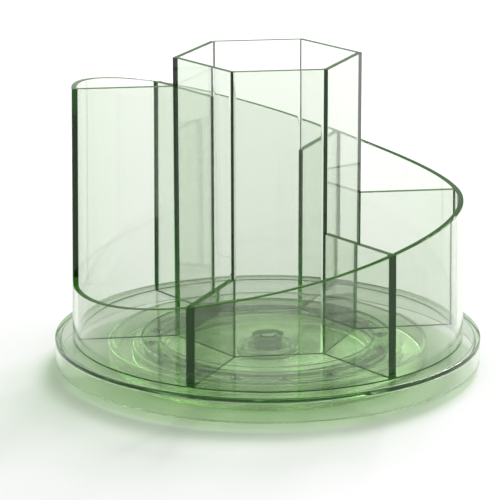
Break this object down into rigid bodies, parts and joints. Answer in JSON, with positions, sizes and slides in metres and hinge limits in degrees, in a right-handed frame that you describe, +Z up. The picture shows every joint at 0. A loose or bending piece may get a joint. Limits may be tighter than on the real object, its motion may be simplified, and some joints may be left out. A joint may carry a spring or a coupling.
{
  "type": "rotating desk organizer",
  "caption": "Clear green desk organizer on a turntable: hexagonal pen cup, radial dividers and a round outer wall whose rim climbs in a spiral.",
  "frame": {"origin": "on the desk under the spin axis, at the bottom centre of the object", "axes": "+Z up along the spin axis; +X through the right-hand corner of the hexagonal cup; -Y is the front, so the spiral's upright step is at -X"},
  "size_m": [0.17, 0.17, 0.1253],
  "materials": {
    "clear_green_acrylic": "clear, polished, faint green tint",
    "natural_nylon": "translucent natural, satin",
    "clear_bead": "clear, polished",
    "clear_soft_pad": "translucent soft pad, satin"
  },
  "bodies": {
    "base": {"base_dish": "clear_green_acrylic", "foot_back_right": "clear_soft_pad", "foot_back_left": "clear_soft_pad", "foot_front_left": "clear_soft_pad", "foot_front_right": "clear_soft_pad"},
    "turntable": {"turntable_disc": "clear_green_acrylic", "outer_wall": "clear_green_acrylic", "hex_panel_back_right": "clear_green_acrylic", "hex_panel_back": "clear_green_acrylic", "hex_panel_back_left": "clear_green_acrylic", "hex_panel_front_left": "clear_green_acrylic", "hex_panel_front": "clear_green_acrylic", "hex_panel_front_right": "clear_green_acrylic", "divider_right": "clear_green_acrylic", "divider_back_right": "clear_green_acrylic", "divider_back_left": "clear_green_acrylic", "divider_left": "clear_green_acrylic", "divider_front_left": "clear_green_acrylic", "divider_front_right": "clear_green_acrylic", "center_pin": "natural_nylon", "thrust_washer": "natural_nylon"},
    "ball_ring": {"ball_cage": "natural_nylon", "ball_01": "clear_bead", "ball_02": "clear_bead", "ball_03": "clear_bead", "ball_04": "clear_bead", "ball_05": "clear_bead", "ball_06": "clear_bead", "ball_07": "clear_bead", "ball_08": "clear_bead", "ball_09": "clear_bead", "ball_10": "clear_bead", "ball_11": "clear_bead", "ball_12": "clear_bead", "ball_13": "clear_bead", "ball_14": "clear_bead", "ball_15": "clear_bead", "ball_16": "clear_bead"}
  },
  "joints": [
    {"name": "turntable_spin", "type": "hinge", "parent": "base", "child": "turntable", "pos_m": [0, 0, 0.0128], "axis": [0, 0, 1], "continuous": true},
    {"name": "ball_ring_spin", "type": "hinge", "parent": "base", "child": "ball_ring", "pos_m": [0, 0, 0.006], "axis": [0, 0, 1], "continuous": true}
  ],
  "couplings": [
    {"joint": "ball_ring_spin", "follows": "turntable_spin", "ratio": 0.5}
  ]
}
